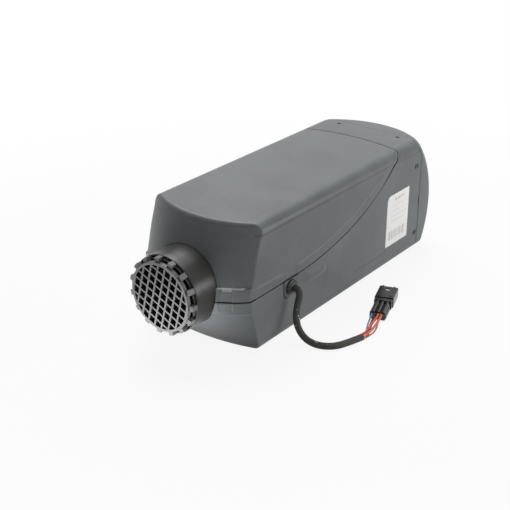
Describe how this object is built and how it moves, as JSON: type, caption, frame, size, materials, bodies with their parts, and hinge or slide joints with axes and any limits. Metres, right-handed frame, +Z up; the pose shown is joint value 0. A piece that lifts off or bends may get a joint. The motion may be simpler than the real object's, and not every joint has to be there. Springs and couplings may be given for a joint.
{
  "type": "diesel air heater",
  "caption": "Fuel-burning air heater in a moulded split casing: round warm-air outlet with a crossed grille, domed intake cap, finned heat exchanger, blower train and a short wiring harness.",
  "frame": {"origin": "centre of the foot, on the plane where its gasket meets the plate that carries the heater", "axes": "+Y from the warm-air outlet to the intake cap, +X to the harness side, +Z up from the mounting plate"},
  "size_m": [0.2204, 0.4324, 0.18],
  "materials": {
    "casing_plastic": "fine moulded texture, satin-matte",
    "insert_plastic": "moulded, matte",
    "black_rubber": "smooth, slightly glossy",
    "collar_plastic": "smooth, semi-gloss",
    "grille_plastic": "moulded, satin",
    "cast_aluminium": "as cast, fine grain",
    "burner_steel": "stainless sheet",
    "gasket_fibre": "graphite fibre",
    "gasket_rubber": "moulded rubber",
    "stub_steel": "drawn tube",
    "stub_aluminium": "machined",
    "zinc_steel": "zinc plated",
    "sensor_brass": "machined",
    "spring_steel": "rolled strip",
    "impeller_aluminium": "machined",
    "bearing_steel": "ground",
    "motor_can": "zinc-nickel can",
    "magnet_ferrite": "ferrite",
    "core_steel": "laminated steel",
    "fan_plastic": "glass-filled, satin",
    "baffle_plastic": "moulded, matte",
    "ecu_plastic": "moulded, matte",
    "board_green": "solder mask",
    "sleeve_braid": "braided sleeve",
    "wire_red": "smooth insulation",
    "wire_blue": "smooth insulation",
    "wire_white": "smooth insulation",
    "wire_tan": "smooth insulation",
    "lead_black": "smooth insulation",
    "lead_red": "smooth insulation",
    "plug_plastic": "moulded, semi-gloss",
    "contact_tin": "tin plated"
  },
  "bodies": {
    "heater": {"lower_shell": "casing_plastic", "cable_port_insert": "insert_plastic", "blank_port_insert": "insert_plastic", "cable_grommet": "black_rubber", "outlet_collar": "collar_plastic", "heat_exchanger": "cast_aluminium", "combustion_chamber": "burner_steel", "burner_gasket": "gasket_fibre", "exhaust_stub": "stub_steel", "air_intake_stub": "stub_aluminium", "fuel_pipe": "stub_steel", "base_gasket": "gasket_rubber", "mounting_studs": "zinc_steel", "glow_plug": "zinc_steel", "glow_plug_boot": "black_rubber", "glow_plug_lead": "lead_red", "overheat_sensor": "sensor_brass", "sensor_clip": "spring_steel", "sensor_lead": "lead_black", "blower_housing": "cast_aluminium", "blower_end_plate": "cast_aluminium", "blower_screws": "zinc_steel", "front_bearing": "bearing_steel", "rear_bearing": "bearing_steel", "motor_case": "motor_can", "motor_magnets": "magnet_ferrite", "motor_clamp": "spring_steel", "fan_baffle": "baffle_plastic", "ecu_case": "ecu_plastic", "ecu_lid": "ecu_plastic", "ecu_screws": "zinc_steel", "ecu_circuit_board": "board_green", "harness_sleeve": "sleeve_braid", "inner_harness": "sleeve_braid", "wire_red_outer": "wire_red", "wire_red_inner": "wire_red", "wire_blue": "wire_blue", "wire_black": "lead_black", "wire_white": "wire_white", "wire_tan": "wire_tan", "plug_housing": "plug_plastic", "plug_shroud": "plug_plastic", "plug_pins": "contact_tin"},
    "cover": {"upper_cover": "casing_plastic"},
    "grille": {"outlet_grille": "grille_plastic"},
    "intake_cap": {"rear_intake_cap": "casing_plastic"},
    "rotor": {"motor_shaft": "bearing_steel", "motor_rotor": "core_steel", "combustion_impeller": "impeller_aluminium", "heating_fan": "fan_plastic"}
  },
  "joints": [
    {"name": "rotor_spin", "type": "hinge", "parent": "heater", "child": "rotor", "pos_m": [0, 0.08, 0.07], "axis": [0, 1, 0], "continuous": true},
    {"name": "cover_lift", "type": "slide", "parent": "heater", "child": "cover", "axis": [0, 0, 1], "range_m": [0, 0.11]},
    {"name": "grille_pull", "type": "slide", "parent": "heater", "child": "grille", "axis": [0, -1, 0], "range_m": [0, 0.05]},
    {"name": "cap_pull", "type": "slide", "parent": "heater", "child": "intake_cap", "axis": [0, 1, 0], "range_m": [0, 0.06]}
  ]
}
